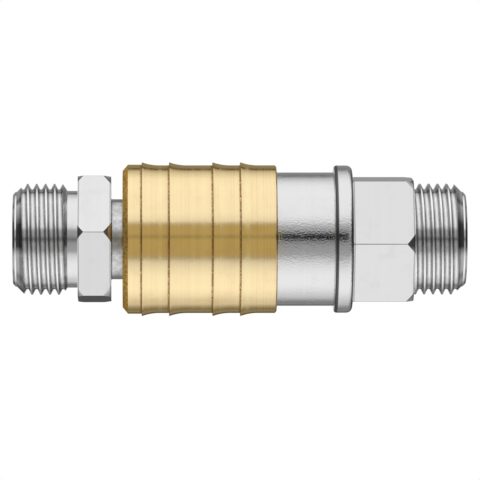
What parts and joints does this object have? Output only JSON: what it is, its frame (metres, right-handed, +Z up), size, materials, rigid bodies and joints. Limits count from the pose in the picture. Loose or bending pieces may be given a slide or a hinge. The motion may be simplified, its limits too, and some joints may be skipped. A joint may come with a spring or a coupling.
{
  "type": "pneumatic quick coupling",
  "caption": "Pneumatic quick coupling: a sprung brass sleeve locks a threaded plug in its socket with balls, and a poppet valve inside shuts the socket.",
  "frame": {"origin": "on the coupling's axis, at the sealing shoulder behind the socket's pipe thread", "axes": "+X along the axis from the plug to the socket's pipe thread, +Z up as in the picture"},
  "size_m": [0.0677, 0.023, 0.023],
  "materials": {
    "plug_steel": "plated and turned",
    "adapter_steel": "plated and turned",
    "body_chrome": "plated, fine turning marks",
    "sleeve_brass": "bare turned brass",
    "valve_brass": "turned",
    "spring_steel": "drawn wire",
    "ball_steel": "polished balls",
    "seal_rubber": "moulded"
  },
  "bodies": {
    "socket": {"socket_body": "body_chrome", "rear_adapter": "adapter_steel", "valve_guide": "valve_brass", "nose_oring": "seal_rubber", "adapter_oring": "seal_rubber", "sleeve_spring": "spring_steel", "valve_spring": "spring_steel"},
    "plug": {"plug_body": "plug_steel"},
    "ring": {"retaining_ring": "spring_steel"},
    "sleeve": {"locking_sleeve": "sleeve_brass"},
    "valve": {"valve_poppet": "valve_brass", "poppet_oring": "seal_rubber"},
    "ball_1": {"locking_ball_1": "ball_steel"},
    "ball_2": {"locking_ball_2": "ball_steel"},
    "ball_3": {"locking_ball_3": "ball_steel"},
    "ball_4": {"locking_ball_4": "ball_steel"},
    "ball_5": {"locking_ball_5": "ball_steel"},
    "ball_6": {"locking_ball_6": "ball_steel"},
    "ball_7": {"locking_ball_7": "ball_steel"},
    "ball_8": {"locking_ball_8": "ball_steel"}
  },
  "joints": [
    {"name": "plug_swivel", "type": "hinge", "parent": "socket", "child": "plug", "pos_m": [-0.0382, 0, 0], "axis": [1, 0, 0], "continuous": true},
    {"name": "sleeve_turn", "type": "hinge", "parent": "socket", "child": "ring", "pos_m": [-0.04104, 0, 0], "axis": [1, 0, 0], "continuous": true},
    {"name": "sleeve_slide", "type": "slide", "parent": "ring", "child": "sleeve", "axis": [1, 0, 0], "range_m": [0, 0.005], "stiffness_N_per_m": 1150, "springref_m": -0.01, "deforming": ["sleeve_spring"]},
    {"name": "valve_overtravel", "type": "slide", "parent": "socket", "child": "valve", "axis": [1, 0, 0], "range_m": [0, 0.001], "stiffness_N_per_m": 1000, "springref_m": -0.0056, "deforming": ["valve_spring"]},
    {"name": "ball_1_lift", "type": "slide", "parent": "socket", "child": "ball_1", "axis": [0, -0.3827, 0.9239], "range_m": [0, 0.0012]},
    {"name": "ball_2_lift", "type": "slide", "parent": "socket", "child": "ball_2", "axis": [0, -0.9239, 0.3827], "range_m": [0, 0.0012]},
    {"name": "ball_3_lift", "type": "slide", "parent": "socket", "child": "ball_3", "axis": [0, -0.9239, -0.3827], "range_m": [0, 0.0012]},
    {"name": "ball_4_lift", "type": "slide", "parent": "socket", "child": "ball_4", "axis": [0, -0.3827, -0.9239], "range_m": [0, 0.0012]},
    {"name": "ball_5_lift", "type": "slide", "parent": "socket", "child": "ball_5", "axis": [0, 0.3827, -0.9239], "range_m": [0, 0.0012]},
    {"name": "ball_6_lift", "type": "slide", "parent": "socket", "child": "ball_6", "axis": [0, 0.9239, -0.3827], "range_m": [0, 0.0012]},
    {"name": "ball_7_lift", "type": "slide", "parent": "socket", "child": "ball_7", "axis": [0, 0.9239, 0.3827], "range_m": [0, 0.0012]},
    {"name": "ball_8_lift", "type": "slide", "parent": "socket", "child": "ball_8", "axis": [0, 0.3827, 0.9239], "range_m": [0, 0.0012]}
  ],
  "couplings": [
    {"joint": "ball_1_lift", "follows": "sleeve_slide", "ratio": 0.24},
    {"joint": "ball_2_lift", "follows": "sleeve_slide", "ratio": 0.24},
    {"joint": "ball_3_lift", "follows": "sleeve_slide", "ratio": 0.24},
    {"joint": "ball_4_lift", "follows": "sleeve_slide", "ratio": 0.24},
    {"joint": "ball_5_lift", "follows": "sleeve_slide", "ratio": 0.24},
    {"joint": "ball_6_lift", "follows": "sleeve_slide", "ratio": 0.24},
    {"joint": "ball_7_lift", "follows": "sleeve_slide", "ratio": 0.24},
    {"joint": "ball_8_lift", "follows": "sleeve_slide", "ratio": 0.24}
  ]
}
